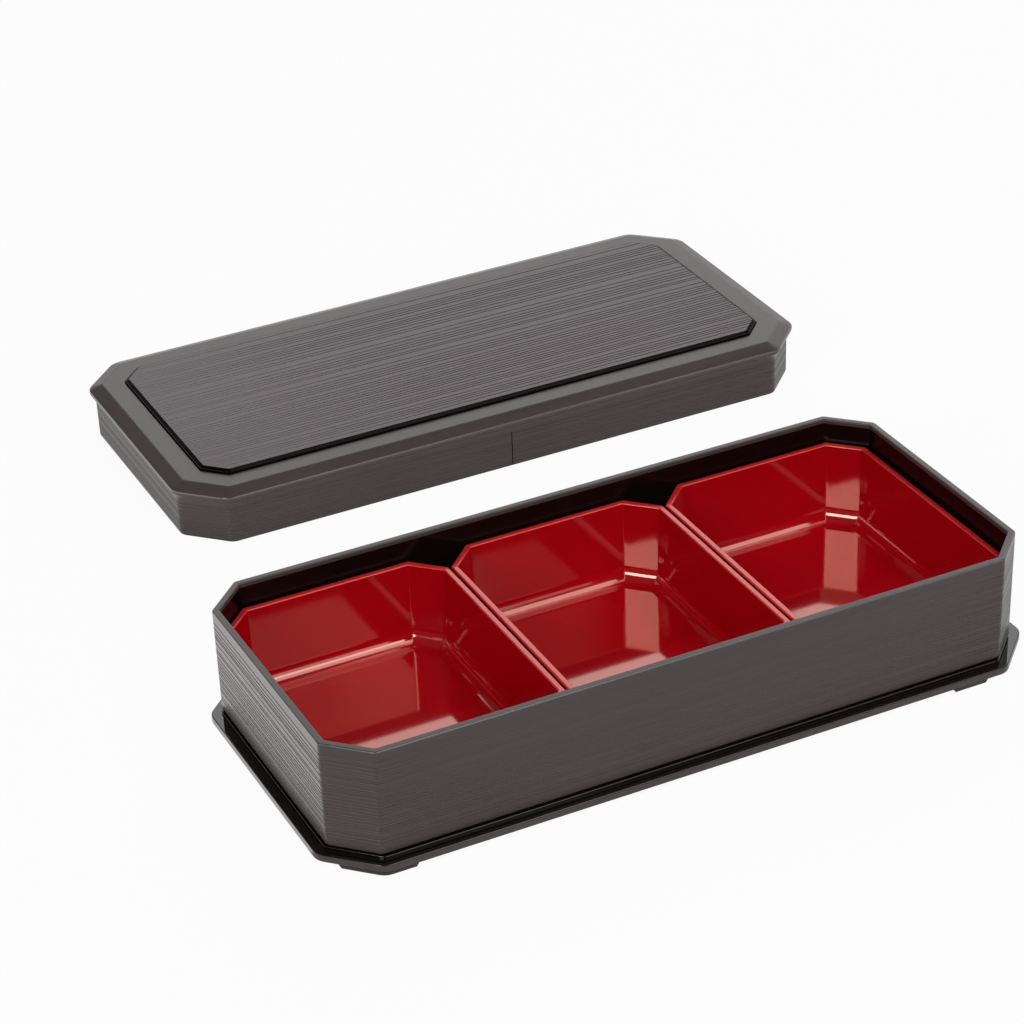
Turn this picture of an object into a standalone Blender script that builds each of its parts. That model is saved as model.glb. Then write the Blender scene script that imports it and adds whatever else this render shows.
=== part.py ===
"""A rectangular bento box with cut corners.

An outer box is a wall on a base plate with four low feet, and three trays stand side by side on the
plate inside it. Its cover lid, with a raised panel, is taken off and lies behind the box on the same
surface.

Metres, +Z up. +X runs along the long side and -Y is the front. The origin is the centre of the base
plate's recessed underside. Everything stands on a surface below it, at the height TABLE.
"""

from dataclasses import dataclass
from itertools import pairwise
from math import cos, pi, radians, sin, sqrt, tan

import bmesh
import bpy
from mathutils import Vector

# Outer box
BODY_LENGTH = 0.330
BODY_WIDTH = 0.1485
BODY_HEIGHT = 0.0506
CORNER_CUT = 0.0173
CORNER_ROUND = 0.0026
BODY_WALL = 0.0033
BODY_DRAFT = 0.0006
GROOVE_HEIGHT = 0.0012
GROOVE_DEPTH = 0.0010

# Base plate
PLATE_THICKNESS = 0.0036
PLATE_REACH = 0.0053
PLATE_CUT_EXTRA = 0.0011
PLATE_ROUND = 0.0080
STEP_HEIGHT = 0.0010
STEP_REACH = 0.0007
STEP_WIDTH = 0.0050
RECESS_DEPTH = 0.0012
RECESS_MARGIN = 0.0220

# Feet: each starts at a distance from the plate's nearer end and runs along its long edge
FOOT_HEIGHT = 0.0020
FOOT_INSET = 0.0004
FOOT_DEPTH = 0.0180
LEFT_FOOT_START = 0.0072
LEFT_FOOT_LENGTH = 0.0290
RIGHT_FOOT_START = 0.0312
RIGHT_FOOT_LENGTH = 0.0170

# Trays
TRAY_NAMES = ("tray_left", "tray_middle", "tray_right")
TRAY_CLEARANCE = 0.0015
TRAY_SPACING = 0.0012
TRAY_DROP = 0.0113
TRAY_CUT_TRIM = 0.0010
TRAY_LIP = 0.0012
TRAY_LIP_HEIGHT = 0.0030
TRAY_WALL = 0.0017
TRAY_FLOOR = 0.0012
TRAY_DRAFT = 0.0014
TRAY_FILLET = 0.0068
TRAY_ROUND = 0.0010

# Lid
LID_CLEARANCE = 0.0010
LID_WALL = 0.0024
LID_OVERHANG = 0.0027
LID_EDGE_HEIGHT = 0.0257
LID_EDGE_THICKNESS = 0.0022
LID_FLARE_HEIGHT = 0.0048
LID_BEVEL_WIDTH = 0.0068
LID_BEVEL_RISE = 0.0026
LID_PLATE = 0.0026
LID_FILLET = 0.0015
LID_SHOULDER = 0.0108

# Raised panel
PANEL_SINK = 0.0009
PANEL_RISE = 0.0020
PANEL_STEP = 0.0004
PANEL_SLOPE = 0.0017

# Where the lid lies: the open space behind the base plate, and the shift along the long side
LID_BEHIND = 0.1150
LID_SHIFT = 0.0460

# Fits and small edges
SEAT_GAP = 0.0003
EDGE = 0.0003
ROUND_STEPS = 3
FILLET_STEPS = 3

# Colours, as red, green and blue
SATIN_BROWN = (0.036, 0.030, 0.030)
GLOSS_RED = (0.400, 0.002, 0.007)

# Heights that follow from the sizes above
PLATE_BOTTOM = -RECESS_DEPTH
PLATE_TOP = PLATE_BOTTOM + PLATE_THICKNESS
TABLE = PLATE_BOTTOM - FOOT_HEIGHT
STEP_TOP = PLATE_TOP + STEP_HEIGHT
BODY_BOTTOM = STEP_TOP + SEAT_GAP
RIM_TOP = BODY_BOTTOM + BODY_HEIGHT
TRAY_BOTTOM = PLATE_TOP + SEAT_GAP
TRAY_TOP = RIM_TOP - TRAY_DROP
SHOULDER_HEIGHT = LID_EDGE_HEIGHT + LID_BEVEL_RISE

# How far the lid's outlines stand out from the box's wall; a minus sign is inside it
SKIRT_INSIDE = LID_CLEARANCE
SKIRT_OUTSIDE = SKIRT_INSIDE + LID_WALL
LID_EDGE = SKIRT_OUTSIDE + LID_OVERHANG
SHOULDER_OUTSIDE = LID_EDGE - LID_BEVEL_WIDTH
PANEL_FOOT = SHOULDER_OUTSIDE - LID_SHOULDER

# A cut corner's leg grows by this share of the distance when the whole outline grows outwards
CUT_GROWTH = 2 - sqrt(2)


@dataclass(frozen=True)
class Plan:
    """A rectangle with cut corners, seen from above, with a small round at each of its 8 vertices."""

    length: float
    width: float
    cut: float
    round: float

    def outline(self, outset):
        """The plan's points anticlockwise, with every side moved outwards by the outset."""
        half_x = self.length / 2 + outset
        half_y = self.width / 2 + outset
        leg = self.cut + outset * CUT_GROWTH
        radius = max(self.round + outset, EDGE)
        vertices = (
            (half_x, leg - half_y),
            (half_x, half_y - leg),
            (half_x - leg, half_y),
            (leg - half_x, half_y),
            (-half_x, half_y - leg),
            (-half_x, leg - half_y),
            (leg - half_x, -half_y),
            (half_x - leg, -half_y),
        )
        points = []
        for number, vertex in enumerate(vertices):
            arrive = radians(45 * (number + 1))
            back = radius * tan(radians(22.5))
            centre_x = vertex[0] - back * cos(arrive) - radius * sin(arrive)
            centre_y = vertex[1] - back * sin(arrive) + radius * cos(arrive)
            for step in range(ROUND_STEPS + 1):
                heading = arrive + radians(45) * step / ROUND_STEPS
                points.append((centre_x + radius * sin(heading), centre_y - radius * cos(heading)))
        return points


BODY_PLAN = Plan(BODY_LENGTH, BODY_WIDTH, CORNER_CUT, CORNER_ROUND)
PLATE_PLAN = Plan(
    BODY_LENGTH + 2 * PLATE_REACH,
    BODY_WIDTH + 2 * PLATE_REACH,
    CORNER_CUT + PLATE_REACH * CUT_GROWTH + PLATE_CUT_EXTRA,
    PLATE_ROUND,
)


def tray_plan():
    """One tray's rim: the trays share the inside of the box, with a space between neighbours.

    The rim's cut corner is a little shorter than the box's own.
    """
    inset = BODY_WALL + TRAY_CLEARANCE
    shared = BODY_LENGTH - 2 * inset - (len(TRAY_NAMES) - 1) * TRAY_SPACING
    return Plan(
        shared / len(TRAY_NAMES),
        BODY_WIDTH - 2 * inset,
        CORNER_CUT - inset * CUT_GROWTH - TRAY_CUT_TRIM,
        TRAY_ROUND,
    )


def fillet(outset, height, radius):
    """A hollow's round corner in a profile, from its wall down to its floor, curving inwards."""
    return [
        (outset - radius * (1 - cos(angle)), height + radius * (1 - sin(angle)))
        for angle in (pi / 2 * step / FILLET_STEPS for step in range(FILLET_STEPS + 1))
    ]


def clear_scene():
    """Removes whatever the scene holds."""
    for thing in list(bpy.data.objects):
        bpy.data.objects.remove(thing, do_unlink=True)


def collection(name, hidden=False):
    """A new collection in the scene."""
    made = bpy.data.collections.new(name)
    made.hide_render = hidden
    bpy.context.scene.collection.children.link(made)
    return made


def plastic(name, colour, roughness):
    """A moulded plastic of one colour."""
    material = bpy.data.materials.new(name)
    material.use_nodes = True
    shader = material.node_tree.nodes["Principled BSDF"]
    shader.inputs["Base Color"].default_value = (*colour, 1.0)
    shader.inputs["Roughness"].default_value = roughness
    shader.inputs["Metallic"].default_value = 0.0
    material.diffuse_color = (*colour, 1.0)
    return material


def carried(name, plan, profile, material, group, wall=False):
    """A closed solid: the plan's outline lofted through the profile's (outset, height) pairs.

    The first and the last outline are filled with a flat face, so a profile that climbs the outside
    of a wall, crosses its rim and goes down the inside makes an open vessel. For a wall without a
    floor, the last outline is joined to the first instead.
    """
    mesh = bmesh.new()
    rings = [
        [mesh.verts.new((x, y, height)) for x, y in plan.outline(outset)]
        for outset, height in profile
    ]
    for lower, upper in pairwise(rings + rings[:1] if wall else rings):
        for corner, point in enumerate(lower):
            before = corner - 1
            mesh.faces.new((lower[before], point, upper[corner], upper[before]))
    if not wall:
        mesh.faces.new(rings[0])
        mesh.faces.new(rings[-1])
    bmesh.ops.recalc_face_normals(mesh, faces=mesh.faces)
    data = bpy.data.meshes.new(name)
    mesh.to_mesh(data)
    mesh.free()
    data.materials.append(material)
    made = bpy.data.objects.new(name, data)
    group.objects.link(made)
    return made


def cutting_block(name, low, high, group):
    """A box between two corners, which only cuts others."""
    mesh = bmesh.new()
    bmesh.ops.create_cube(mesh, size=1.0)
    bmesh.ops.scale(mesh, vec=high - low, verts=mesh.verts)
    bmesh.ops.translate(mesh, vec=(low + high) / 2, verts=mesh.verts)
    data = bpy.data.meshes.new(name)
    mesh.to_mesh(data)
    mesh.free()
    made = bpy.data.objects.new(name, data)
    made.hide_render = True
    made.display_type = "WIRE"
    group.objects.link(made)
    return made


def make_base_plate(group):
    """The plate under the box: a recessed underside, and a low ridge on top that the wall sits on."""
    step = STEP_REACH - PLATE_REACH
    profile = [
        (-RECESS_MARGIN, 0.0),
        (-RECESS_MARGIN, PLATE_BOTTOM),
        (-EDGE, PLATE_BOTTOM),
        (0.0, PLATE_BOTTOM + EDGE),
        (0.0, PLATE_TOP - EDGE),
        (-EDGE, PLATE_TOP),
        (step, PLATE_TOP),
        (step, STEP_TOP),
        (step - STEP_WIDTH, STEP_TOP),
        (step - STEP_WIDTH, PLATE_TOP),
    ]
    return carried("base_plate", PLATE_PLAN, profile, plastic("base_plate", SATIN_BROWN, 0.30), group)


def make_box_body(group):
    """The outer box: a shadow groove under its straight outside, a flat rim and a drafted inside."""
    groove_top = BODY_BOTTOM + GROOVE_HEIGHT
    profile = [
        (-GROOVE_DEPTH, BODY_BOTTOM),
        (-GROOVE_DEPTH, groove_top),
        (0.0, groove_top + EDGE),
        (0.0, RIM_TOP - EDGE),
        (-EDGE, RIM_TOP),
        (EDGE - BODY_WALL, RIM_TOP),
        (-BODY_WALL, RIM_TOP - EDGE),
        (-BODY_WALL - BODY_DRAFT, BODY_BOTTOM),
    ]
    material = plastic("box_body", SATIN_BROWN, 0.45)
    return carried("box_body", BODY_PLAN, profile, material, group, wall=True)


def make_foot(name, start, length, end, side, material, group, cutters):
    """A low pad under the plate's edge, which follows the plate's outline on its outer side.

    end is -1 or 1 for the plate's left or right end, and side is -1 or 1 for its front or back.
    """
    profile = [(-FOOT_INSET, TABLE), (-FOOT_INSET, PLATE_BOTTOM - SEAT_GAP)]
    pad = carried(name, PLATE_PLAN, profile, material, group)
    outer_x = end * (PLATE_PLAN.length / 2 - start)
    inner_x = outer_x - end * length
    edge_y = side * PLATE_PLAN.width / 2
    inner_y = edge_y - side * (FOOT_INSET + FOOT_DEPTH)
    low = Vector((min(outer_x, inner_x), min(edge_y, inner_y), TABLE - FOOT_HEIGHT))
    high = Vector((max(outer_x, inner_x), max(edge_y, inner_y), PLATE_BOTTOM + FOOT_HEIGHT))
    keep = pad.modifiers.new("keep", "BOOLEAN")
    keep.operation = "INTERSECT"
    keep.solver = "EXACT"
    keep.object = cutting_block(name + "_block", low, high, cutters)
    return pad


def make_feet(group, cutters):
    """Two feet at each end of the plate."""
    material = plastic("foot", SATIN_BROWN, 0.55)
    for end, end_name, start, length in (
        (-1, "left", LEFT_FOOT_START, LEFT_FOOT_LENGTH),
        (1, "right", RIGHT_FOOT_START, RIGHT_FOOT_LENGTH),
    ):
        for side, side_name in ((-1, "front"), (1, "back")):
            name = f"foot_{side_name}_{end_name}"
            make_foot(name, start, length, end, side, material, group, cutters)


def make_trays(group):
    """Open trays with a flat lip, drafted walls and round floors, in a row along the box."""
    plan = tray_plan()
    height = TRAY_TOP - TRAY_BOTTOM
    lip_bottom = height - TRAY_LIP_HEIGHT
    mouth = -TRAY_LIP - TRAY_WALL
    outside = fillet(-TRAY_LIP - TRAY_DRAFT, 0.0, TRAY_FILLET)
    profile = [
        *reversed(outside),
        (-TRAY_LIP, lip_bottom - TRAY_LIP),
        (0.0, lip_bottom),
        (0.0, height - EDGE),
        (-EDGE, height),
        (mouth + EDGE, height),
        (mouth, height - EDGE),
        *fillet(mouth - TRAY_DRAFT, TRAY_FLOOR, TRAY_FILLET),
    ]
    material = plastic("tray", GLOSS_RED, 0.12)
    pitch = plan.length + TRAY_SPACING
    for number, name in enumerate(TRAY_NAMES):
        tray = carried(name, plan, profile, material, group)
        tray.location = ((number - (len(TRAY_NAMES) - 1) / 2) * pitch, 0.0, TRAY_BOTTOM)


def make_lid(group):
    """The cover lid and its raised panel, lying on the surface behind the box."""
    pocket = PANEL_FOOT + SEAT_GAP
    pocket_floor = SHOULDER_HEIGHT - PANEL_SINK
    edge_bottom = LID_EDGE_HEIGHT - LID_EDGE_THICKNESS
    ceiling = SHOULDER_HEIGHT - LID_PLATE
    inside = [(outset, 2 * ceiling - height) for outset, height in fillet(SKIRT_INSIDE, ceiling, LID_FILLET)]
    profile = [
        (pocket, pocket_floor),
        (pocket, SHOULDER_HEIGHT),
        (SHOULDER_OUTSIDE, SHOULDER_HEIGHT),
        (LID_EDGE - EDGE, LID_EDGE_HEIGHT),
        (LID_EDGE, LID_EDGE_HEIGHT - EDGE),
        (LID_EDGE, edge_bottom),
        (SKIRT_OUTSIDE + LID_OVERHANG / 4, edge_bottom - LID_FLARE_HEIGHT * 2 / 3),
        (SKIRT_OUTSIDE, edge_bottom - LID_FLARE_HEIGHT),
        (SKIRT_OUTSIDE, EDGE),
        (SKIRT_OUTSIDE - EDGE, 0.0),
        (SKIRT_INSIDE + EDGE, 0.0),
        (SKIRT_INSIDE, EDGE),
        *inside,
    ]
    shell = carried("lid_shell", BODY_PLAN, profile, plastic("lid_shell", SATIN_BROWN, 0.40), group)
    depth = BODY_WIDTH + PLATE_REACH + LID_EDGE + LID_BEHIND
    shell.location = (LID_SHIFT, depth, TABLE)

    top = SHOULDER_HEIGHT + PANEL_RISE
    middle = SHOULDER_HEIGHT + PANEL_RISE / 2
    profile = [
        (PANEL_FOOT, pocket_floor + SEAT_GAP),
        (PANEL_FOOT, middle),
        (PANEL_FOOT - PANEL_STEP, middle),
        (PANEL_FOOT - PANEL_SLOPE + EDGE, top - EDGE),
        (PANEL_FOOT - PANEL_SLOPE, top),
    ]
    panel = carried("lid_panel", BODY_PLAN, profile, plastic("lid_panel", SATIN_BROWN, 0.35), group)
    panel.parent = shell


def main():
    """Builds every piece in its own place."""
    clear_scene()
    group = collection("bento_box")
    cutters = collection("cutters", hidden=True)
    make_base_plate(group)
    make_box_body(group)
    make_feet(group, cutters)
    make_trays(group)
    make_lid(group)


main()
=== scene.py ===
"""The looks of a rectangular bento box: ribbed satin walls, gloss trays and a cover lid beside it.

Every piece takes its place and outer size from the frame. Lengths are in metres.
"""

from math import cos, radians, sin, sqrt

import bpy
import numpy as np
from mathutils import Matrix, Vector


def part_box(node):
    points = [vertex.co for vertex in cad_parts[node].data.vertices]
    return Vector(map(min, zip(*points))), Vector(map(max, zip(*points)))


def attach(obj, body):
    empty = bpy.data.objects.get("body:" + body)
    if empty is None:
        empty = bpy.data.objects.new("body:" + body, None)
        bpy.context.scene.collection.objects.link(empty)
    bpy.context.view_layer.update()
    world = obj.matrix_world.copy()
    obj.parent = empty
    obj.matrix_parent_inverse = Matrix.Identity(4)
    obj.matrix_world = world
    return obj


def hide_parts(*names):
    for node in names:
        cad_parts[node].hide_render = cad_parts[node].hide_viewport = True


# Plans seen from above: cut corners, rounds at the eight vertices, and how far the plate reaches
BODY_CUT = 0.0173
BODY_ROUND = 0.0030
PLATE_REACH = 0.0053
PLATE_CUT_EXTRA = 0.0011
PLATE_ROUND = 0.0080
CUT_GROWTH = 2 - sqrt(2)
LEAST_ROUND = 0.0008

# Outer box
BODY_WALL = 0.0033
BODY_DRAFT = 0.0006
FOOT_LINE_HEIGHT = 0.0012
FOOT_LINE_DEPTH = 0.0010
RIM_ROUND = 0.0006
RIM_BAND = 0.0026
RIM_INSIDE = 0.0020
UNDER_START = 0.0010
UNDER_END = 0.0008

# Base plate
PLATE_THICKNESS = 0.0036
PLATE_EDGE_ROUND = 0.0005
PLATE_RECESS = 0.0012
PLATE_MARGIN = 0.0220
PLATE_RIM_FLAT = 0.0006
STEP_REACH = 0.0007
STEP_WIDTH = 0.0050
STEP_ROUND = 0.0003

# Feet
FOOT_INSET = 0.0004
FOOT_SLANT = 0.0007
FOOT_SOFTENING = 0.0002
FOOT_LEVELS = (0.0, 0.0002, 0.0010, 0.0018)
FOOT_COLUMNS = 25

# Trays
TRAY_CLEARANCE = 0.0015
TRAY_CUT_TRIM = 0.0010
TRAY_LIP = 0.0012
TRAY_LIP_HEIGHT = 0.0030
TRAY_WALL = 0.0017
TRAY_FLOOR = 0.0012
TRAY_DRAFT = 0.0014
TRAY_INNER_DRAFT = 0.0007
TRAY_FILLET = 0.0068
TRAY_ROUND = 0.0010
TRAY_RIM_ROUND = 0.0007
TRAY_RIM_SHARE = 0.9
TRAY_LIP_ROUND = 0.0003
TRAY_NECK_ROUND = 0.0004

# Lid
LID_CLEARANCE = 0.0010
LID_WALL = 0.0024
LID_OVERHANG = 0.0027
LID_EDGE_HEIGHT = 0.0257
LID_EDGE_THICKNESS = 0.0022
LID_EDGE_ROUND = 0.0006
LID_FLARE_HEIGHT = 0.0048
LID_BEVEL_WIDTH = 0.0068
LID_BEVEL_RISE = 0.0026
LID_PLATE = 0.0026
LID_FILLET = 0.0015
LID_SHOULDER = 0.0108
LID_FOOT_BAND = 0.0009
LID_NECK_RISE = 0.0004
LID_NECK_ROUND = 0.003
LID_FLARE_ROUND = 0.004
LID_UNDER_EDGE_ROUND = 0.0024
LID_SHOULDER_ROUND = 0.004

# Raised panel
PANEL_SINK = 0.0009
PANEL_RISE = 0.0020
PANEL_STEP = 0.0004
PANEL_SLOPE = 0.0017
PANEL_TOP_MARGIN = 0.00025
PANEL_TOP_INSET = PANEL_SLOPE + PANEL_TOP_MARGIN
PANEL_ROUND = 0.0022
PANEL_EDGE_ROUND = 0.0003
PANEL_COLUMNS = 48
PANEL_END_COLUMN = 0.0005
PANEL_LEAST_GROOVE = 0.25
PANEL_FADE_START = 0.16
PANEL_FADE_LENGTH = 0.22
SEAT_GAP = 0.0003

# Ribs: narrow grooves in the outer walls and in the top of the panel
GROOVE_WIDTH = 0.00068
GROOVE_DEPTH = 0.00014
GROOVE_BOTTOM = 0.16
PANEL_GROOVE_WIDTH = 0.00080
PANEL_GROOVE_DEPTH = 0.00016
EDGE_REACH = 0.012

# Where the ribs are: the seed of their order, the spacings and how often each comes
BOX_RIBS = (4, (0.0012, 0.0015, 0.0019, 0.0030), (0.38, 0.32, 0.22, 0.08))
LID_RIBS = (11, (0.0013, 0.0017, 0.0024), (0.5, 0.32, 0.18))
PANEL_RIBS = (23, (0.0021, 0.0025, 0.0034, 0.0052), (0.44, 0.30, 0.16, 0.10))
RIB_COUNT = 400
RIB_WOBBLE = 0.12
WOBBLE_STEP = 1.7

# The smooth bands before the first rib and after the last one
BOX_BANDS = (0.0030, 0.0044)
LID_BANDS = (0.0012, 0.0006)
PANEL_BANDS = (0.0007, 0.0010)

# How deep the ribs are on the long sides, on the ends and at the upright edges, which also sets how
# strong the painted shade in their bottoms is
EVEN_SHARES = (1.0, 1.0, 1.0)
BOX_SHARES = (0.45, 1.25, 1.1)

# Seam: one narrow notch down the middle of the lid's front, with painted shade in it
SEAM_WIDTH = 0.00060
SEAM_SHARE = 4.5
SEAM_INSIDE = 0.7

# How finely a plan is divided: the steps and half the turn of an arc, and the points on a run
TURN_STEPS = 6
HALF_TURN = radians(22.5)
RUN_SUPPORTS = (0.0, 0.08, 0.25, 0.5, 0.75, 0.92, 1.0)
RUN_NEAR = 0.0009

# How finely a profile is divided: the steps of an arc, and how near a corner the next point is
ARC_STEPS, TRAY_ARC_STEPS, PANEL_ARC_STEPS = 7, 10, 3
PROFILE_NEAR, PANEL_NEAR = 0.00012, 0.00008

# The distance between neighbouring stretches of a profile
JOIN = 0.0001

# What counts as one place, and as a normal straight to the front or back
SAME_POINT = 1e-7
SAME_PLACE = 1e-6
SAME_EDGE = 1e-9
STRAIGHT_ON = 0.9999

# Small rounds, and how far a profile's flat ends run on
CRISP_ROUND = 0.0001
TINY_ROUND = 0.0002
UNDER_ROUND = 0.0006
END_RUN = 0.002
SHORT_RUN = 0.001

# The middle stretch of a pattern's values, over which a colour goes from dark to light
COLOUR_RANGE = (0.3, 0.7)

# Satin: dark and light colour of the streaks, and how fine its patterns are along each axis
SATIN_DARK = (0.059, 0.046, 0.046)
SATIN_LIGHT = (0.074, 0.057, 0.058)
# The panel's colours lean to violet: a painted tint for the violet cast of its reflections
PANEL_DARK_REFLECTION_TINT = (0.057, 0.038, 0.043)
PANEL_LIGHT_REFLECTION_TINT = (0.072, 0.048, 0.054)
FOOT_DARK = (0.024, 0.019, 0.019)
FOOT_LIGHT = (0.032, 0.026, 0.026)
WALL_STREAKS = (5.0, 5.0, 420.0)
PANEL_STREAKS = (4.0, 420.0, 420.0)
EVEN_STREAKS = (30.0, 30.0, 30.0)
SATIN_CLOUDS = (14.0, 14.0, 14.0)
SATIN_SPECKS = (2600.0, 2600.0, 2600.0)
FINER = 3.0
GRAIN_HEIGHT = 0.000006

# Satin: how much of each pattern is in its colour, its roughness and its grain
COLOUR_STREAKS, COLOUR_CLOUDS = 0.7, 0.3
# How dark the painted shade in the groove bottoms gets, as a share of the dark colour
BOTTOM_SHADE = 0.5
SATIN_BELOW, DULL_STREAKS, DULL_GROOVE = 0.05, 0.08, 0.1
GRAIN_STREAKS, GRAIN_SPECKS = 0.7, 0.5

# Gloss: how fine its patterns are, and how much of them is in its roughness
GLOSS_CLOUDS = (9.0, 9.0, 9.0)
GLOSS_HAIRS = (40.0, 900.0, 900.0)
GLOSS_WAVES = (22.0, 22.0, 22.0)
WAVE_HEIGHT = 0.00004
HAIR_RANGE = (0.62, 0.8)
GLOSS_BELOW, DULL_HAIRS, DULL_CLOUDS = 0.01, 0.04, 0.02

# Gloss: deep and bright colours, and the lacquer over the red
BLACK_DEEP = (0.0062, 0.0040, 0.0038)
BLACK_BRIGHT = (0.0080, 0.0052, 0.0048)
INNER_DEEP = (0.0045, 0.0022, 0.0022)
INNER_BRIGHT = (0.0060, 0.0030, 0.0028)
SHADOW_DEEP = (0.0040, 0.0020, 0.0020)
SHADOW_BRIGHT = (0.0052, 0.0026, 0.0025)
RED_DEEP = (0.418, 0.0009, 0.0060)
RED_BRIGHT = (0.455, 0.0012, 0.0072)
# The rim colours are a brighter, pinker red than the trays': a painted highlight along the rims
RED_RIM_PAINTED_HIGHLIGHT_DEEP = (0.540, 0.014, 0.016)
RED_RIM_PAINTED_HIGHLIGHT_BRIGHT = (0.600, 0.020, 0.022)
RED_LACQUER = (1.0, 0.625, 0.525)
LACQUER_INDEX = 1.69

# Camera: its angles in degrees, the point it faces, its distance, and its lens in picture points
CAMERA_AZIMUTH, CAMERA_ELEVATION, CAMERA_ROLL = -23.91, 33.21, -3.09
CAMERA_TARGET = (-0.07756, 0.0, 0.0268)
CAMERA_DISTANCE = 1.27607
SENSOR_WIDTH = 36.0
PICTURE_SIDE = 1024
FOCAL_LENGTH = 3000.43
LENS_MIDDLE = (457.45, 672.93)
FARTHEST = 100.0

# Studio
LIT_POINT = (0.0, 0.05, 0.02)
CARD_HEIGHT = 0.001
FLOOR_REACH = 30.0
FLOOR_GREY = (0.9, 0.9, 0.9)
FLOOR_GLOW = 0.94
ROOM_LIGHT = 0.08
BACKDROP_TOP = 0.38
BACKDROP_FADE = 0.05
WHITE = (1.0, 1.0, 1.0)


def outlines(plan, outsets, extra=()):
    """Points and normals of a cut-cornered plan at several outsets, as arrays (outset, point, 2).

    The plan is (half length, half width, leg of the cut, radius). Vertex k of 8 is an arc: centre +
    r (cos a, sin a), with a from 45 (k - 1) to 45 k degrees and r = radius + outset. Between arcs
    the straight runs hold a few points each, close to their ends and spread along them, and more
    at the given extra distances from their middles.
    """
    half_x, half_y, cut, radius = plan
    outset = np.asarray(outsets, float)[:, None]
    across, along = half_x + outset, half_y + outset
    leg = cut + outset * CUT_GROWTH
    radius = np.maximum(radius + outset, LEAST_ROUND)
    corner_x = np.hstack(
        [across, across, across - leg, leg - across, -across, -across, leg - across, across - leg]
    )
    corner_y = np.hstack(
        [leg - along, along - leg, along, along, along - leg, leg - along, -along, -along]
    )
    middle = 2 * HALF_TURN * np.arange(8) - HALF_TURN
    reach = radius / cos(HALF_TURN)
    turn = middle[:, None] + np.linspace(-HALF_TURN, HALF_TURN, TURN_STEPS + 1)
    arcs = np.stack(
        [
            (corner_x - reach * np.cos(middle))[:, :, None] + radius[:, :, None] * np.cos(turn),
            (corner_y - reach * np.sin(middle))[:, :, None] + radius[:, :, None] * np.sin(turn),
        ],
        axis=-1,
    )
    starts, ends = arcs[:, :, -1], np.roll(arcs[:, :, 0], -1, axis=1)
    length = np.linalg.norm(ends[0] - starts[0], axis=-1)[:, None]
    share = RUN_NEAR / length + (1 - 2 * RUN_NEAR / length) * np.array(RUN_SUPPORTS)
    share = np.sort(np.hstack([share, 0.5 + np.array(extra) / length]), axis=1)
    runs = starts[:, :, None] + share[None, :, :, None] * (ends - starts)[:, :, None]
    points = np.concatenate([arcs, runs], axis=2).reshape(len(outset), -1, 2)
    run_turn = np.repeat(turn[:, -1:], share.shape[1], axis=1)
    angle = np.concatenate([turn, run_turn], axis=1).reshape(-1)
    return points, np.stack([np.cos(angle), np.sin(angle)], axis=-1)


def rounded(corners, steps=ARC_STEPS):
    """A polyline of (outset, height, radius) with its corners rounded, as (outset, height) points.

    At a corner that turns by t, with u the direction of arrival and w its normal on the inner side,
    the arc starts r tan(t / 2) before the corner and goes on by r (sin a u + (1 - cos a) w), with a
    from 0 to t. Points that fall together are kept once.
    """
    points, radius = np.array(corners)[:, :2], np.array(corners)[1:-1, 2:]
    ways = np.diff(points, axis=0)
    ways /= np.linalg.norm(ways, axis=1)[:, None]
    arrive, leave = ways[:-1], ways[1:]
    turn = np.arctan2(
        arrive[:, 0] * leave[:, 1] - arrive[:, 1] * leave[:, 0], (arrive * leave).sum(axis=1)
    )[:, None]
    inner = np.sign(turn) * np.stack([-arrive[:, 1], arrive[:, 0]], axis=1)
    start = points[1:-1] - radius * np.tan(np.abs(turn) / 2) * arrive
    angle = (np.abs(turn) * np.linspace(0, 1, steps + 1))[:, :, None]
    arcs = start[:, None] + radius[:, None] * (
        np.sin(angle) * arrive[:, None] + (1 - np.cos(angle)) * inner[:, None]
    )
    line = np.vstack([points[:1], arcs.reshape(-1, 2), points[-1:]])
    apart = np.linalg.norm(np.diff(line, axis=0), axis=1) > SAME_POINT
    return line[np.concatenate([[True], apart])]


def supported(line, near=PROFILE_NEAR):
    """The line with two more points in each long straight stretch, close to its ends."""
    start, end = line[:-1], line[1:]
    length = np.linalg.norm(end - start, axis=-1)[:, None]
    step = (end - start) * np.where(length > 4 * near, near / length, np.nan)
    between = np.stack([start, start + step, end - step], axis=1).reshape(-1, line.shape[1])
    return np.vstack([between[~np.isnan(between[:, 0])], line[-1:]])


def stretch(corners, finish=0):
    """Profile rows (outset, height, groove share, finish) of a rounded polyline without grooves."""
    line = supported(rounded(corners))
    return np.column_stack([line, np.zeros(len(line)), np.full(len(line), finish)])


def bright_edge(rows, outset, height, radius, finish):
    """The rows with a finish of its own on the round of one outer corner."""
    on_round = (np.abs(rows[:, 0] - outset) < radius) & (np.abs(rows[:, 1] - height) < radius)
    rows[on_round, 3] = finish
    return rows


def groove_places(low, high, ribs):
    """Middles of the grooves between two levels: running sums of seeded spacings.

    Each spacing is drawn by its share and changed by RIB_WOBBLE times a sine that goes on by
    WOBBLE_STEP from one spacing to the next.
    """
    seed, spacings, shares = ribs
    drawn = np.random.default_rng(seed).choice(spacings, size=RIB_COUNT, p=shares)
    places = low + np.cumsum(drawn * (1 + RIB_WOBBLE * np.sin(WOBBLE_STEP * np.arange(RIB_COUNT))))
    return places[places < high]


def groove_rows(places, width):
    """Positions across a set of grooves, and the share of the full depth at each.

    Each groove is a narrow vee whose flat bottom reaches GROOVE_BOTTOM times the width to each
    side of its middle.
    """
    across = np.array([-0.5, -GROOVE_BOTTOM, GROOVE_BOTTOM, 0.5]) * width
    depth = np.tile([0.0, 1.0, 1.0, 0.0], len(places))
    return (places[:, None] + across).reshape(-1), depth


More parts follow.
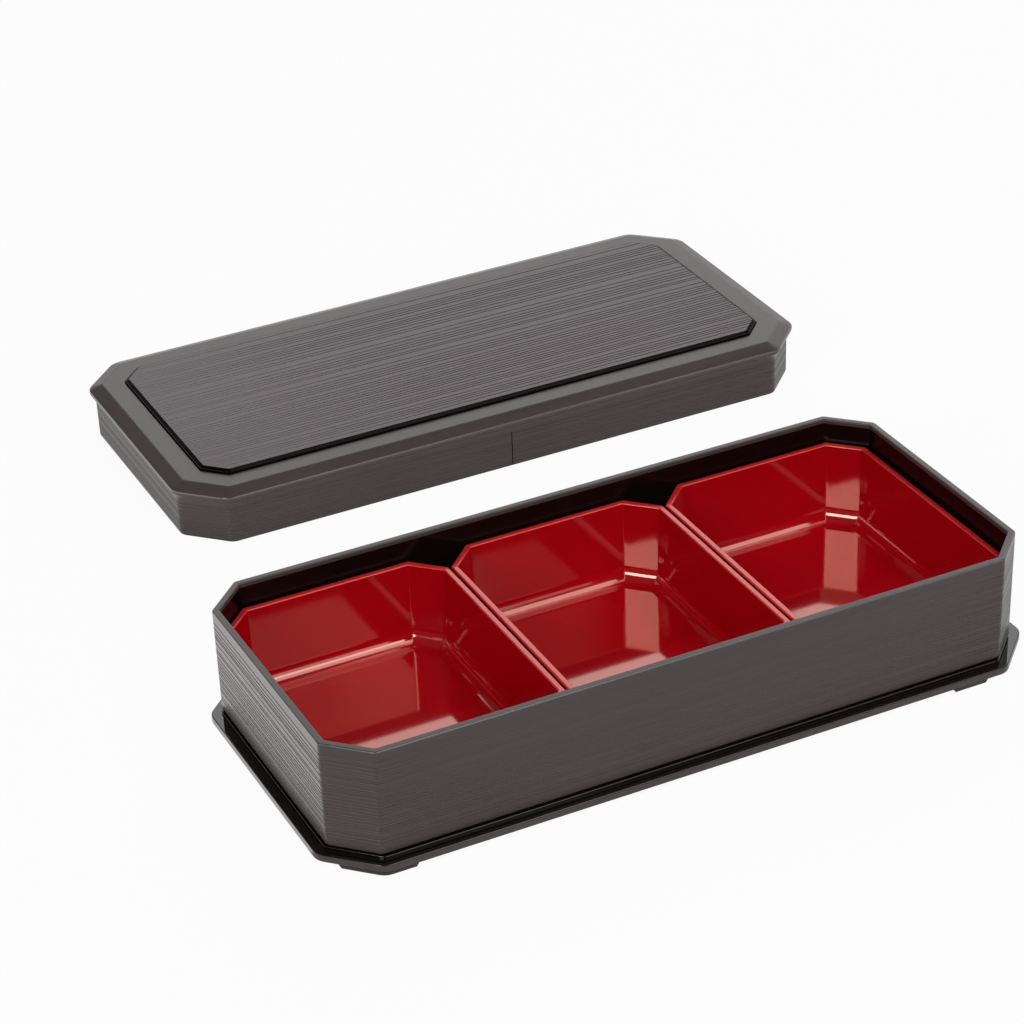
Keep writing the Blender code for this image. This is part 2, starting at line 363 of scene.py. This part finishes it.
def ribbed(outset, low, high, places):
    """Profile rows (outset, height, groove share, finish) up a straight wall with grooves."""
    heights, depth = groove_rows(places, GROOVE_WIDTH)
    heights = np.concatenate([[low], heights, [high]])
    depth = np.concatenate([[0.0], depth, [0.0]])
    return np.column_stack([np.full(len(heights), outset), heights, depth, np.zeros(len(heights))])


def skin(index, wall=False):
    """Faces between the rows of an index grid, with its ends filled, or joined for a wall."""
    if wall:
        index = np.vstack([index, index[:1]])
    after = np.roll(index, -1, axis=1)
    sides = np.stack([index[:-1], after[:-1], after[1:], index[1:]], axis=-1).reshape(-1, 4)
    return sides.tolist() + ([] if wall else [index[0][::-1].tolist(), index[-1].tolist()])


def carried(plan, rows, centre, wall=False, seam=None, shares=EVEN_SHARES):
    """A profile carried round a plan: vertices, faces, groove depths and the finish of each face.

    A point is the plan's outline at its row's outset, moved inwards along its normal by
    GROOVE_DEPTH times the row's groove share and the share of its place. That goes from the first
    of shares on the long sides to the second on the ends with the fourth power of the normal's x,
    and to the third at the upright edges with exp(-distance / EDGE_REACH). Where a row is marked
    for the seam, its share is SEAM_SHARE at the points within SEAM_INSIDE of half the seam's
    width from the front's middle.
    """
    half = SEAM_WIDTH / 2
    extra = () if seam is None else (-half, -half / 2, half / 2, half)
    points, normals = outlines(plan, rows[:, 0], extra)
    corners = points[0].reshape(8, -1, 2)[:, TURN_STEPS // 2]
    near = np.exp(-np.linalg.norm(points[0][:, None] - corners, axis=2).min(axis=1) / EDGE_REACH)
    place = shares[0] + (shares[1] - shares[0]) * normals[:, 0] ** 4
    depth = rows[:, 2:3] * (place + (shares[2] - place) * near)
    if seam is not None:
        inside = (np.abs(points[0, :, 0]) < SEAM_INSIDE * half) & (points[0, :, 1] < 0)
        depth = np.where(seam[:, None] & inside, SEAM_SHARE, depth)
    points = points - GROOVE_DEPTH * depth[:, :, None] * normals
    count = points.shape[1]
    heights = np.repeat(rows[:, 1:2], count, axis=1)
    vertices = np.dstack([points, heights]).reshape(-1, 3) + np.array(centre)
    index = np.arange(len(vertices)).reshape(len(rows), count)
    ends = np.repeat(rows[:1, 3], count) if wall else rows[[0, -1], 3]
    finish = np.concatenate([np.repeat(rows[1:, 3], count), ends])
    return vertices, skin(index, wall), depth.reshape(-1), finish


def new_piece(name, shape, finishes, body, node, sharp=30):
    """A mesh object that stands for a CAD node, shaded smooth up to an angle in degrees."""
    vertices, faces, depth, finish = shape
    mesh = bpy.data.meshes.new(name)
    mesh.from_pydata(vertices.tolist(), [], faces)
    for material in finishes:
        mesh.materials.append(material)
    mesh.polygons.foreach_set("material_index", finish.astype(np.int32))
    # The groove share also sets how strong the painted shade in the satin's groove bottoms is
    groove = mesh.attributes.new("groove", "FLOAT", "POINT")
    groove.data.foreach_set("value", depth.astype(np.float32))
    mesh.shade_smooth()
    mesh.set_sharp_from_angle(angle=radians(sharp))
    piece = bpy.data.objects.new(name, mesh)
    bpy.context.scene.collection.objects.link(piece)
    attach(piece, body)
    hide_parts(node)


class Value:
    """A number in a material or in the world. Its sums and products add Math nodes."""

    def __init__(self, tree, socket):
        self.tree = tree
        self.socket = socket

    def math(self, operation, first, second):
        made = self.tree.node("ShaderNodeMath", {"operation": operation}, {0: first, 1: second})
        return Value(self.tree, made.outputs[0])

    def __add__(self, other):
        return self.math("ADD", self, other)

    def __radd__(self, other):
        return self.math("ADD", other, self)

    def __mul__(self, other):
        return self.math("MULTIPLY", self, other)

    def __rmul__(self, other):
        return self.math("MULTIPLY", other, self)


class Nodes:
    """The nodes of a material or of the world."""

    def __init__(self, tree):
        self.tree = tree

    def node(self, kind, settings, inputs):
        """Adds a node: its settings first, then the values or links of its sockets."""
        made = self.tree.nodes.new(kind)
        for name, value in settings.items():
            setattr(made, name, value)
        for key, value in inputs.items():
            self.feed(made.inputs[key], value)
        return made

    def feed(self, socket, value):
        """Links a value or a socket to a socket, or sets its number or colour."""
        source = value.socket if isinstance(value, Value) else value
        if isinstance(source, bpy.types.NodeSocket):
            self.tree.links.new(source, socket)
        elif socket.type == "RGBA":
            socket.default_value = (*source, 1.0)
        else:
            socket.default_value = source

    def spread(self, value, low, high):
        """The value stretched so that low becomes 0 and high becomes 1, held between them."""
        made = self.node(
            "ShaderNodeMapRange",
            {"clamp": True, "interpolation_type": "SMOOTHSTEP"},
            {"Value": value, "From Min": low, "From Max": high},
        )
        return Value(self, made.outputs["Result"])

    def seen_rays(self):
        """1 for the rays that show the white surroundings: from the camera, gloss and glass."""
        path = self.node("ShaderNodeLightPath", {}, {})
        direct = Value(self, path.outputs["Is Camera Ray"])
        mirrored = Value(self, path.outputs["Is Glossy Ray"])
        return direct + mirrored + Value(self, path.outputs["Is Transmission Ray"])


class Finish(Nodes):
    """A material and the nodes that it is made of."""

    def __init__(self, name, specular):
        self.material = bpy.data.materials.new(name)
        self.material.use_nodes = True
        super().__init__(self.material.node_tree)
        self.shader = self.tree.nodes["Principled BSDF"]
        self.shader.inputs["Specular IOR Level"].default_value = specular

    def noise(self, scale, detail, roughness=0.5, offset=(0.0, 0.0, 0.0)):
        """Noise on the object's own coordinates, with its own scale along each axis."""
        place = self.node("ShaderNodeTexCoord", {}, {}).outputs["Object"]
        mapping = {"Vector": place, "Scale": scale, "Location": offset}
        placed = self.node("ShaderNodeMapping", {}, mapping)
        made = self.node(
            "ShaderNodeTexNoise",
            {"noise_dimensions": "3D"},
            {"Vector": placed.outputs[0], "Scale": 1.0, "Detail": detail, "Roughness": roughness},
        )
        return Value(self, made.outputs["Fac"])

    def attribute(self, name):
        """A number kept on the mesh."""
        made = self.node("ShaderNodeAttribute", {"attribute_name": name}, {})
        return Value(self, made.outputs["Fac"])

    def blend(self, factor, first, second):
        """A colour between two colours."""
        made = self.node("ShaderNodeMix", {"data_type": "RGBA"}, {0: factor, 6: first, 7: second})
        return made.outputs[2]

    def surface(self, colour, roughness, height, distance):
        """Sets what varies over the surface: its colour, its roughness and a bump."""
        bump = self.node("ShaderNodeBump", {}, {"Height": height, "Distance": distance})
        self.feed(self.shader.inputs["Base Color"], colour)
        self.feed(self.shader.inputs["Roughness"], roughness)
        self.feed(self.shader.inputs["Normal"], bump.outputs["Normal"])
        return self.material


def satin(name, dark, light, streak_scale, roughness=0.32, shade=0.25, specular=0.25):
    """Satin plastic: long faint streaks in colour and gloss, a fine grain, painted shade in the
    groove bottoms.
    """
    finish = Finish(name, specular)
    streaks = finish.noise(streak_scale, detail=4.0, roughness=0.65)
    clouds = finish.noise(SATIN_CLOUDS, detail=2.0)
    groove = finish.attribute("groove")
    mixed = streaks * COLOUR_STREAKS + clouds * COLOUR_CLOUDS
    lit = finish.spread(mixed, *COLOUR_RANGE)
    # Painted shade: the colour goes towards half the dark colour by groove share times shade,
    # darkest in groove bottoms and the seam's notch
    bottom = tuple(BOTTOM_SHADE * part for part in dark)
    colour = finish.blend(groove * shade, finish.blend(lit, dark, light), bottom)
    fine_scale = tuple(FINER * scale for scale in streak_scale)
    fine = finish.noise(fine_scale, detail=2.0, offset=(0.3, 0.1, 0.7))
    specks = finish.noise(SATIN_SPECKS, detail=1.0)
    dull = (roughness - SATIN_BELOW) + streaks * DULL_STREAKS + groove * DULL_GROOVE
    grain = fine * GRAIN_STREAKS + specks * GRAIN_SPECKS
    return finish.surface(colour, dull, grain, GRAIN_HEIGHT)


def gloss(name, deep, bright, roughness, specular=0.5, lacquer=None):
    """Polished plastic: nearly even colour, faint hairlines in the gloss and a slow mould wave.

    A lacquer is the colour that its mirror images take, and makes them stronger.
    """
    finish = Finish(name, specular)
    if lacquer:
        finish.shader.inputs["Specular Tint"].default_value = (*lacquer, 1.0)
        finish.shader.inputs["IOR"].default_value = LACQUER_INDEX
    clouds = finish.noise(GLOSS_CLOUDS, detail=2.0)
    colour = finish.blend(finish.spread(clouds, *COLOUR_RANGE), deep, bright)
    hairs = finish.noise(GLOSS_HAIRS, detail=2.0)
    slow = finish.noise(GLOSS_WAVES, detail=1.0, offset=(0.2, 0.5, 0.1))
    hairs = finish.spread(hairs, *HAIR_RANGE)
    dull = (roughness - GLOSS_BELOW) + hairs * DULL_HAIRS + clouds * DULL_CLOUDS
    return finish.surface(colour, dull, slow, WAVE_HEIGHT)


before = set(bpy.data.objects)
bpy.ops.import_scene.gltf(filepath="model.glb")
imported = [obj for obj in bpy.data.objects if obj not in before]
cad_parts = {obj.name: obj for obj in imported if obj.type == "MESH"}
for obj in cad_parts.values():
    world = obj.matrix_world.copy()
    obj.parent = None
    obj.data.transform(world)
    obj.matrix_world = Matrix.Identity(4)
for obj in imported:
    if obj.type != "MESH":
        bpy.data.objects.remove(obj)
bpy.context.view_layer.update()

walls_satin = satin("walls_satin", SATIN_DARK, SATIN_LIGHT, WALL_STREAKS)
smooth_satin = satin("smooth_satin", SATIN_DARK, SATIN_LIGHT, EVEN_STREAKS)
# The panel's satin: a stronger painted shade in its groove bottoms, and colours with a painted
# violet reflection tint
panel_satin = satin("panel_satin", PANEL_DARK_REFLECTION_TINT, PANEL_LIGHT_REFLECTION_TINT, PANEL_STREAKS, shade=0.7)
edge_satin = satin("edge_satin", SATIN_DARK, SATIN_LIGHT, EVEN_STREAKS, 0.16, specular=0.8)
foot_satin = satin("foot_satin", FOOT_DARK, FOOT_LIGHT, EVEN_STREAKS, 0.5)
black_gloss = gloss("black_gloss", BLACK_DEEP, BLACK_BRIGHT, 0.05)
inner_gloss = gloss("inner_gloss", INNER_DEEP, INNER_BRIGHT, 0.16, specular=0.15)
deep_gloss = gloss("deep_gloss", SHADOW_DEEP, SHADOW_BRIGHT, 0.2, specular=0.04)
red_gloss = gloss("red_gloss", RED_DEEP, RED_BRIGHT, 0.06, 0.9, RED_LACQUER)
# A brighter, pinker red for the tray rims: a painted highlight
red_rim_painted_highlight = gloss("red_rim_painted_highlight", RED_RIM_PAINTED_HIGHLIGHT_DEEP, RED_RIM_PAINTED_HIGHLIGHT_BRIGHT, 0.12, 0.5, RED_LACQUER)


def seat(node):
    """A node's lowest middle point, its half length, its half width and its height."""
    low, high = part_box(node)
    middle = ((low.x + high.x) / 2, (low.y + high.y) / 2, low.z)
    return middle, (high.x - low.x) / 2, (high.y - low.y) / 2, high.z - low.z


def make_outer_box():
    """A wall: shadow line at the foot, ribbed outside, round rim and drafted gloss inside.

    The profile starts and ends on the wall's underside, where its last row joins the first.
    """
    centre, half_x, half_y, height = seat("box_body")
    ribs_low, ribs_high = FOOT_LINE_HEIGHT + 4 * JOIN, height - RIM_BAND - JOIN
    places = groove_places(BOX_BANDS[0], height - BOX_BANDS[1], BOX_RIBS)
    inside = -BODY_WALL - BODY_DRAFT
    under = [
        (inside + UNDER_START, 0, 0),
        (-FOOT_LINE_DEPTH, 0, TINY_ROUND),
        (-FOOT_LINE_DEPTH, FOOT_LINE_HEIGHT, 0),
        (0, FOOT_LINE_HEIGHT, CRISP_ROUND),
        (0, FOOT_LINE_HEIGHT + 3 * JOIN, 0),
    ]
    rim = [
        (0, height - RIM_BAND, 0),
        (0, height, RIM_ROUND),
        (-BODY_WALL, height, RIM_ROUND),
        (-BODY_WALL, height - RIM_INSIDE, 0),
    ]
    hollow = [
        (-BODY_WALL, height - RIM_INSIDE - 2 * JOIN, 0),
        (inside, 0, TINY_ROUND),
        (inside + UNDER_END, 0, 0),
    ]
    rows = np.vstack(
        [
            stretch(under),
            ribbed(0, ribs_low, ribs_high, places),
            bright_edge(stretch(rim), 0, height, RIM_ROUND, finish=2),
            stretch(hollow, finish=1),
        ]
    )
    plan = (half_x, half_y, BODY_CUT, BODY_ROUND)
    shape = carried(plan, rows, centre, wall=True, shares=BOX_SHARES)
    finishes = [walls_satin, inner_gloss, edge_satin]
    new_piece("outer_box", shape, finishes, "box", "box_body", sharp=14)


def plate_plan():
    """The plate's plan: its own box, with a cut a little longer than the box's would give."""
    _, half_x, half_y, _ = seat("base_plate")
    return half_x, half_y, BODY_CUT + PLATE_REACH * CUT_GROWTH + PLATE_CUT_EXTRA, PLATE_ROUND


def make_plate():
    """A recessed underside, a satin rounded edge, a gloss top and the low step under the box.

    The gloss covers the edge's upper round and the outer round of the step. The flat of the step
    and all inside it has the duller gloss of the box's inside.
    """
    centre, _, _, height = seat("base_plate")
    step = STEP_REACH - PLATE_REACH
    edge = [
        (-PLATE_MARGIN, PLATE_RECESS, 0),
        (-PLATE_MARGIN, 0, 0),
        (0, 0, UNDER_ROUND),
        (0, PLATE_THICKNESS, PLATE_EDGE_ROUND),
        (-PLATE_RIM_FLAT, PLATE_THICKNESS, 0),
    ]
    top = [
        (-PLATE_RIM_FLAT - 2 * JOIN, PLATE_THICKNESS, 0),
        (step, PLATE_THICKNESS, 0),
        (step, height, STEP_ROUND),
        (step - STEP_WIDTH, height, STEP_ROUND),
        (step - STEP_WIDTH, PLATE_THICKNESS, 0),
        (step - STEP_WIDTH - SHORT_RUN, PLATE_THICKNESS, 0),
    ]
    edge, top = stretch(edge), stretch(top, finish=1)
    edge[edge[:, 1] > PLATE_THICKNESS - PLATE_EDGE_ROUND + JOIN, 3] = 1
    top[top[:, 0] < step - STEP_ROUND, 3] = 2
    shape = carried(plate_plan(), np.vstack([edge, top]), centre)
    finishes = [smooth_satin, black_gloss, inner_gloss]
    new_piece("stand_plate", shape, finishes, "box", "base_plate")


def make_foot(node, name):
    """A pad whose outer side follows the plate's outline, with slanted sides.

    At slant s its ends stand in by s, its outer side by s / 2 and its inner side by s. Points go
    along the outer side and back along the inner one, in rings from the table up.
    """
    low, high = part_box(node)
    side = np.sign(low.y + high.y)
    inner = min(abs(low.y), abs(high.y))
    path = outlines(plate_plan(), [-FOOT_INSET])[0][0]
    path = path[path[:, 1] > 0]
    path = path[np.argsort(path[:, 0])]
    slants = [FOOT_SLANT + FOOT_SOFTENING, FOOT_SLANT, FOOT_SLANT / 2, 0.0, 0.0]
    slant = np.array(slants)[:, None]
    height = np.array([*FOOT_LEVELS, high.z - low.z])
    along = np.linspace(0, 1, FOOT_COLUMNS)
    x = (low.x + slant) + (high.x - low.x - 2 * slant) * along
    outer = np.interp(x, path[:, 0], path[:, 1]) - slant / 2
    inner = np.repeat(inner + slant, len(along), axis=1)
    loop_x = np.hstack([x[:, ::-1], x])
    loop_y = np.hstack([outer[:, ::-1], inner])
    if side < 0:
        loop_x, loop_y = loop_x[:, ::-1], -loop_y[:, ::-1]
    heights = np.repeat(low.z + height[:, None], loop_x.shape[1], axis=1)
    vertices = np.dstack([loop_x, loop_y, heights]).reshape(-1, 3)
    faces = skin(np.arange(len(vertices)).reshape(heights.shape))
    shape = (vertices, faces, np.zeros(len(vertices)), np.zeros(len(faces)))
    new_piece(name, shape, [foot_satin], "box", node)


def make_tray(node, name, body):
    """Drafted walls, a flat lip with round edges and a round corner all round the floor."""
    centre, half_x, half_y, height = seat(node)
    lip_bottom = height - TRAY_LIP_HEIGHT
    mouth = -TRAY_LIP - TRAY_WALL
    inside = mouth - TRAY_INNER_DRAFT
    corners = [
        (-TRAY_LIP - TRAY_DRAFT - TRAY_FILLET - END_RUN, 0, 0),
        (-TRAY_LIP - TRAY_DRAFT, 0, TRAY_FILLET),
        (-TRAY_LIP, lip_bottom - TRAY_LIP, TRAY_NECK_ROUND),
        (0, lip_bottom, TRAY_LIP_ROUND),
        (0, height, TRAY_RIM_ROUND),
        (mouth, height, TRAY_RIM_ROUND),
        (inside, TRAY_FLOOR, TRAY_FILLET),
        (inside - TRAY_FILLET - END_RUN, TRAY_FLOOR, 0),
    ]
    line = supported(rounded(corners, TRAY_ARC_STEPS))
    # The rows on the rim's round take the rim's brighter red: a painted highlight
    high_up = line[:, 1] > height - TRAY_RIM_SHARE * TRAY_RIM_ROUND
    on_rim_highlight = high_up & (line[:, 0] > mouth - TRAY_RIM_ROUND)
    rows = np.column_stack([line, np.zeros(len(line)), on_rim_highlight])
    cut = BODY_CUT - (BODY_WALL + TRAY_CLEARANCE) * CUT_GROWTH - TRAY_CUT_TRIM
    plan = (half_x, half_y, cut, TRAY_ROUND)
    new_piece(name, carried(plan, rows, centre), [red_gloss, red_rim_painted_highlight], body, node)


def make_cover():
    """The lid: hollow ribbed skirt, flared edge, soft bevel, flat shoulder, the panel's pocket."""
    centre, half_x, half_y, _ = seat("lid_shell")
    skirt = LID_CLEARANCE + LID_WALL
    edge = skirt + LID_OVERHANG
    edge_bottom = LID_EDGE_HEIGHT - LID_EDGE_THICKNESS
    flare = edge_bottom - LID_FLARE_HEIGHT
    shoulder = LID_EDGE_HEIGHT + LID_BEVEL_RISE
    ceiling = shoulder - LID_PLATE
    shoulder_line = edge - LID_BEVEL_WIDTH
    pocket = shoulder_line - LID_SHOULDER + SEAT_GAP
    plan = (half_x - edge, half_y - edge, BODY_CUT, BODY_ROUND)
    inner = [
        (LID_CLEARANCE - LID_FILLET - END_RUN, ceiling, 0),
        (LID_CLEARANCE, ceiling, LID_FILLET),
        (LID_CLEARANCE, 0, UNDER_ROUND),
        (skirt, 0, UNDER_ROUND),
        (skirt, LID_FOOT_BAND, 0),
    ]
    outer = [
        (skirt, flare - JOIN, 0),
        (skirt, flare + LID_NECK_RISE, LID_NECK_ROUND),
        (skirt + LID_OVERHANG / 4, edge_bottom - LID_FLARE_HEIGHT / 3, LID_FLARE_ROUND),
        (edge, edge_bottom, LID_UNDER_EDGE_ROUND),
        (edge, LID_EDGE_HEIGHT, LID_EDGE_ROUND),
        (shoulder_line, shoulder, LID_SHOULDER_ROUND),
        (pocket, shoulder, TINY_ROUND),
        (pocket, shoulder - PANEL_SINK, 0),
        (pocket - SHORT_RUN, shoulder - PANEL_SINK, 0),
    ]
    places = groove_places(LID_BANDS[0], flare - LID_BANDS[1], LID_RIBS)
    ribs = ribbed(skirt, LID_FOOT_BAND + JOIN, flare - 2 * JOIN, places)
    outer = bright_edge(stretch(outer), edge, LID_EDGE_HEIGHT, LID_EDGE_ROUND, finish=2)
    rows = np.vstack([stretch(inner, finish=1), ribs, outer])
    on_skirt = np.abs(rows[:, 0] - skirt) < SAME_PLACE
    seam = on_skirt & (rows[:, 1] > LID_FOOT_BAND) & (rows[:, 1] < flare)
    shape = carried(plan, rows, centre, seam=seam)
    finishes = [walls_satin, black_gloss, edge_satin]
    new_piece("cover_shell", shape, finishes, "lid", "lid_shell")


def panel_end(half_x, half_y):
    """The right half of the panel's top, from front to back: x, y and the turn of the normal."""
    cut = BODY_CUT - (seat("box_body")[1] - half_x) * CUT_GROWTH
    plan = (half_x, half_y, cut, PANEL_ROUND + PANEL_TOP_INSET)
    points, normals = outlines(plan, [-PANEL_TOP_INSET])
    points = points[0]
    right = (points[:, 0] > 0) & (np.abs(normals[:, 1]) < STRAIGHT_ON)
    order = np.argsort(points[right][:, 1])
    end = points[right][order]
    turn = np.arctan2(normals[:, 1], normals[:, 0])[right][order]
    top_y = half_y - PANEL_TOP_INSET
    end = np.vstack([end, (end[-1, 0], top_y)])
    turn = np.append(turn, radians(90))
    end[0, 1], turn[0] = -top_y, radians(-90)
    return end[:, 0], end[:, 1], turn


def make_panel():
    """The raised panel: a top grid with grooves along its length, and a stepped gloss side.

    Row j of the top lies at y_j and column i at x = -h(y_j) to h(y_j), where h is the half length
    of the plan at y. Its height is the top less PANEL_GROOVE_DEPTH times the groove share and a
    share that grows from PANEL_LEAST_GROOVE at the left end to 1 with s s (3 - 2 s), where s goes
    from 0 to 1 over PANEL_FADE_LENGTH. The side goes out from the grid's border along the plan's
    normals.
    """
    centre, half_x, half_y, height = seat("lid_panel")
    end_x, end_y, end_turn = panel_end(half_x, half_y)
    top_y = end_y[-1]
    places = groove_places(PANEL_BANDS[0] - top_y, top_y - PANEL_BANDS[1], PANEL_RIBS)
    rows_y, depth = groove_rows(places, PANEL_GROOVE_WIDTH)
    every = np.concatenate([rows_y, end_y])
    depth = np.concatenate([depth, np.interp(end_y, rows_y, depth)])
    order = np.unique(np.round(every, 7), return_index=True)[1]
    rows_y, depth = every[order], depth[order]
    depth[[0, -1]] = 0.0
    half = np.interp(rows_y, end_y, end_x)[:, None]
    columns = (half - PANEL_END_COLUMN) * np.linspace(-1, 1, PANEL_COLUMNS)
    x = np.hstack([-half, columns, half])
    y = np.repeat(rows_y[:, None], x.shape[1], axis=1)
    reach = np.clip((x + PANEL_FADE_START) / PANEL_FADE_LENGTH, 0, 1)
    grown = reach * reach * (3 - 2 * reach)
    groove = depth[:, None] * (PANEL_LEAST_GROOVE + (1 - PANEL_LEAST_GROOVE) * grown)
    z = height - PANEL_GROOVE_DEPTH * groove
    grid = np.arange(x.size).reshape(x.shape)
    corners = [grid[:-1, :-1], grid[:-1, 1:], grid[1:, 1:], grid[1:, :-1]]
    top_faces = np.stack(corners, axis=-1).reshape(-1, 4).tolist()

    border = np.concatenate([grid[0, :-1], grid[:-1, -1], grid[-1, :0:-1], grid[:0:-1, 0]])
    border_x, border_y = x.reshape(-1)[border], y.reshape(-1)[border]
    turn = np.interp(border_y, end_y, end_turn)
    turn = np.where(border_x > 0, turn, radians(180) - turn)
    at_front_or_back = np.abs(np.abs(border_y) - top_y) < SAME_EDGE
    on_long = at_front_or_back & (np.abs(border_x) < end_x[0] - SAME_EDGE)
    turn = np.where(on_long, np.sign(border_y) * radians(90), turn)
    out = np.stack([np.cos(turn), np.sin(turn)], axis=-1)
    middle = PANEL_SINK - SEAT_GAP + PANEL_RISE / 2
    side = [
        (0, 0, 0),
        (0, middle, CRISP_ROUND),
        (-PANEL_STEP, middle, CRISP_ROUND),
        (-PANEL_SLOPE, height, PANEL_EDGE_ROUND),
        (-PANEL_TOP_INSET, height, 0),
    ]
    side = supported(rounded(side, PANEL_ARC_STEPS), PANEL_NEAR)[:-1]
    start = np.stack([border_x, border_y], axis=-1)
    ring = start[None] + (side[:, 0] + PANEL_TOP_INSET)[:, None, None] * out[None]
    ring = np.dstack([ring, np.repeat(side[:, 1:2], len(border), axis=1)]).reshape(-1, 3)
    index = grid.size + np.arange(len(ring)).reshape(len(side), -1)
    side_faces = skin(np.vstack([index, border]))[:-1]

    vertices = np.vstack([np.dstack([x, y, z]).reshape(-1, 3), ring]) + np.array(centre)
    depths = np.concatenate([groove.reshape(-1), np.zeros(len(ring))])
    finish = np.repeat([0, 1], [len(top_faces), len(side_faces)])
    shape = (vertices, top_faces + side_faces, depths, finish)
    finishes = [panel_satin, deep_gloss]
    new_piece("cover_panel", shape, finishes, "lid", "lid_panel", sharp=8)


def aim(thing, place, axes):
    """Puts a camera or a lamp at a place, with its own X, Y and Z axes along three directions."""
    turned = Matrix(axes).transposed().to_4x4()
    thing.matrix_world = Matrix.Translation(place) @ turned


def make_camera():
    """A long lens from above on the front left, rolled a little, with the frame shifted."""
    azimuth, elevation = radians(CAMERA_AZIMUTH), radians(CAMERA_ELEVATION)
    roll = radians(CAMERA_ROLL)
    back = Vector((sin(azimuth) * cos(elevation), -cos(azimuth) * cos(elevation), sin(elevation)))
    right = Vector((0, 0, 1)).cross(back).normalized()
    up = back.cross(right)
    data = bpy.data.cameras.new("camera")
    data.sensor_width = SENSOR_WIDTH
    data.lens = SENSOR_WIDTH * FOCAL_LENGTH / PICTURE_SIDE
    data.shift_x = (PICTURE_SIDE / 2 - LENS_MIDDLE[0]) / PICTURE_SIDE
    data.shift_y = (LENS_MIDDLE[1] - PICTURE_SIDE / 2) / PICTURE_SIDE
    data.clip_end = FARTHEST
    camera = bpy.data.objects.new("camera", data)
    bpy.context.scene.collection.objects.link(camera)
    across = cos(roll) * right + sin(roll) * up
    upward = cos(roll) * up - sin(roll) * right
    aim(camera, Vector(CAMERA_TARGET) + back * CAMERA_DISTANCE, (across, upward, back))
    bpy.context.scene.camera = camera


def new_lamp(name, width, height, radiance):
    """A rectangular lamp. With power pi times its area it looks as bright at any size."""
    data = bpy.data.lights.new(name, "AREA")
    data.shape = "RECTANGLE"
    data.size, data.size_y = width, height
    data.energy = radiance * np.pi * width * height
    lamp = bpy.data.objects.new(name, data)
    bpy.context.scene.collection.objects.link(lamp)
    return lamp


def make_lamp(name, way, distance, size, radiance):
    """A soft box that faces the middle of the object, at a distance along a direction from it."""
    lamp = new_lamp(name, *size, radiance)
    back = Vector(way).normalized()
    right = Vector((0, 0, 1)).cross(back).normalized()
    aim(lamp, Vector(LIT_POINT) + back * distance, (right, back.cross(right), back))


def make_card(name, low, high, radiance):
    """A glowing card that lies on the floor beside the object, out of the camera's sight."""
    lamp = new_lamp(name, high[0] - low[0], high[1] - low[1], radiance)
    lamp.visible_camera = False
    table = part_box("foot_front_left")[0].z
    middle = ((low[0] + high[0]) / 2, (low[1] + high[1]) / 2, table + CARD_HEIGHT)
    aim(lamp, Vector(middle), ((-1, 0, 0), (0, 1, 0), (0, 0, -1)))


def make_floor():
    """A pale floor at the table's height that glows white and keeps a faint shadow."""
    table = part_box("foot_front_left")[0].z
    reach = FLOOR_REACH
    corners = [(-reach, -reach, table), (reach, -reach, table), (reach, reach, table)]
    corners.append((-reach, reach, table))
    mesh = bpy.data.meshes.new("floor")
    mesh.from_pydata(corners, [], [(0, 1, 2, 3)])
    floor = bpy.data.objects.new("floor", mesh)
    bpy.context.scene.collection.objects.link(floor)
    finish = Finish("floor", specular=0.0)
    finish.shader.inputs["Base Color"].default_value = (*FLOOR_GREY, 1.0)
    finish.shader.inputs["Roughness"].default_value = 1.0
    white = finish.node("ShaderNodeEmission", {}, {"Color": WHITE, "Strength": 1.0})
    parts = {0: finish.seen_rays() * FLOOR_GLOW, 1: finish.shader.outputs[0], 2: white.outputs[0]}
    mixed = finish.node("ShaderNodeMixShader", {}, parts)
    finish.feed(finish.tree.nodes["Material Output"].inputs["Surface"], mixed.outputs[0])
    mesh.materials.append(finish.material)


def make_room():
    """A dim room with a white backdrop all round, low down, for the rays that show it."""
    world = bpy.data.worlds.new("studio")
    world.use_nodes = True
    bpy.context.scene.world = world
    room = Nodes(world.node_tree)
    dim = room.node("ShaderNodeBackground", {}, {"Color": WHITE, "Strength": ROOM_LIGHT})
    white = room.node("ShaderNodeBackground", {}, {"Color": WHITE, "Strength": 1.0})
    way = room.node("ShaderNodeTexCoord", {}, {})
    split = room.node("ShaderNodeSeparateXYZ", {}, {0: way.outputs["Generated"]})
    height = Value(room, split.outputs["Z"])
    low = room.spread(height, BACKDROP_TOP, BACKDROP_TOP - BACKDROP_FADE)
    parts = {0: room.seen_rays() * low, 1: dim.outputs[0], 2: white.outputs[0]}
    mixed = room.node("ShaderNodeMixShader", {}, parts)
    room.feed(world.node_tree.nodes["World Output"].inputs["Surface"], mixed.outputs[0])


make_outer_box()
make_plate()
for side in ("front", "back"):
    for end in ("left", "right"):
        make_foot(f"foot_{side}_{end}", f"{side}_{end}_pad")
for place in ("left", "middle", "right"):
    make_tray(f"tray_{place}", f"red_tray_{place}", f"tray_{place}_body")
make_cover()
make_panel()
make_camera()
make_floor()
make_room()
make_lamp("side_box", way=(-0.731, -0.450, 0.52), distance=4.0, size=(0.86, 2.0), radiance=9.6)
make_lamp("front_box", way=(0.037, -0.838, 0.545), distance=3.0, size=(1.95, 1.6), radiance=1.7)
make_lamp("front_edge", way=(0.342, -0.767, 0.545), distance=3.0, size=(0.37, 1.6), radiance=0.8)
make_lamp("top_box", way=(0.30, -0.42, 0.86), distance=3.0, size=(2.2, 1.6), radiance=3.0)
make_lamp("back_box", way=(0.50, 0.77, 0.55), distance=3.0, size=(2.8, 1.5), radiance=2.1)
make_card("left_card", low=(-0.60, -0.05), high=(-0.15, 0.50), radiance=0.9)
bpy.context.scene.view_settings.view_transform = "Standard"
